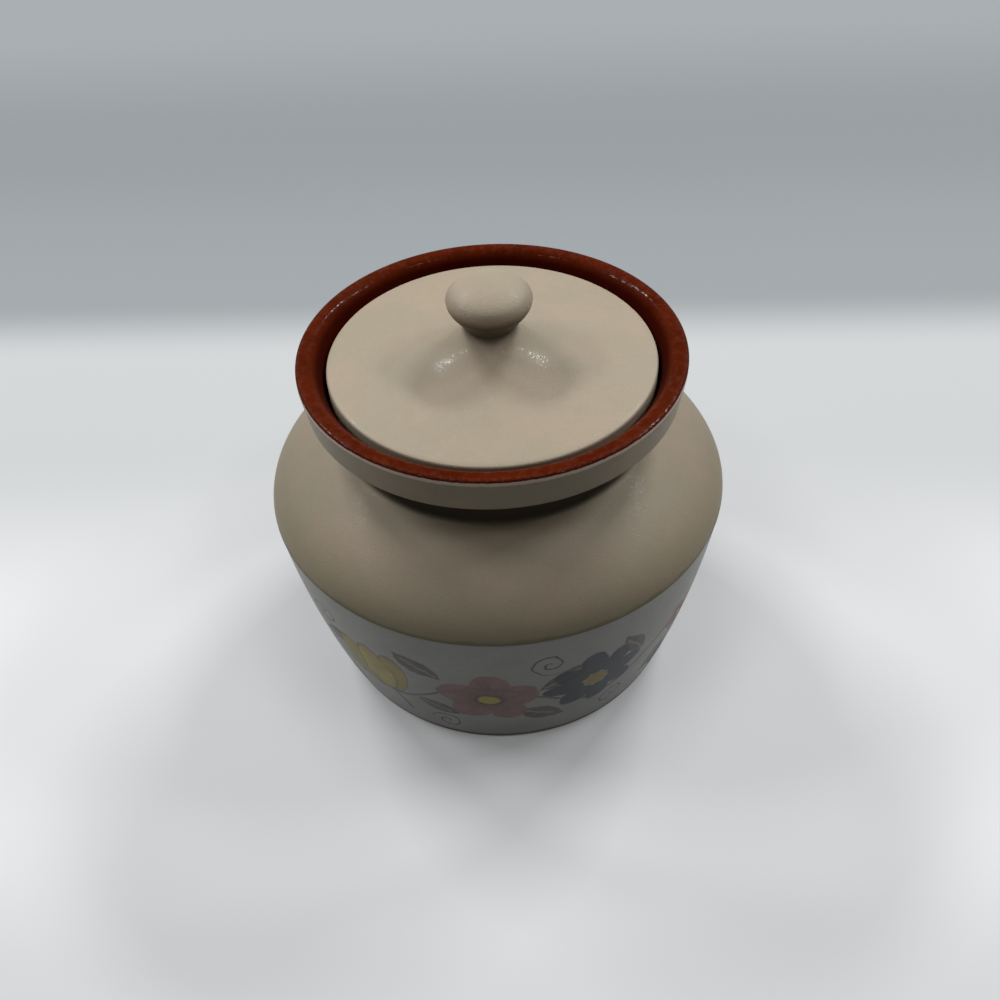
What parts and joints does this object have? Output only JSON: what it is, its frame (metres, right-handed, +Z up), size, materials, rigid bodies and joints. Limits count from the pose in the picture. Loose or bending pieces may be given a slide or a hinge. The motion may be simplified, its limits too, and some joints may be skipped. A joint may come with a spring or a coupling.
{
  "type": "cookie jar",
  "caption": "Lidded stoneware cookie jar with a round belly, a turned-out collar, a glazed lip and a drop-in lid with a mushroom knob.",
  "frame": {"origin": "centre of the foot ring, on the surface that the jar stands on", "axes": "+Z up along the axis of the jar, -Y towards the picture's viewer, +X to the viewer's right"},
  "size_m": [0.2044, 0.2044, 0.1944],
  "materials": {
    "oatmeal_glaze": "satin oatmeal stoneware glaze with fine dark specks",
    "rust_glaze": "glossy rust-red iron glaze",
    "band_glaze": "pale grey glazed ground with brush-painted flowers and leaves"
  },
  "bodies": {
    "jar": {"jar_body": "oatmeal_glaze", "liner_glaze": "rust_glaze", "band_glaze": "band_glaze"},
    "lid": {"lid_plate": "oatmeal_glaze", "lid_knob": "oatmeal_glaze"}
  },
  "joints": [
    {"name": "lid_lift", "type": "slide", "parent": "jar", "child": "lid", "axis": [0, 0, 1], "range_m": [0, 0.12]}
  ]
}
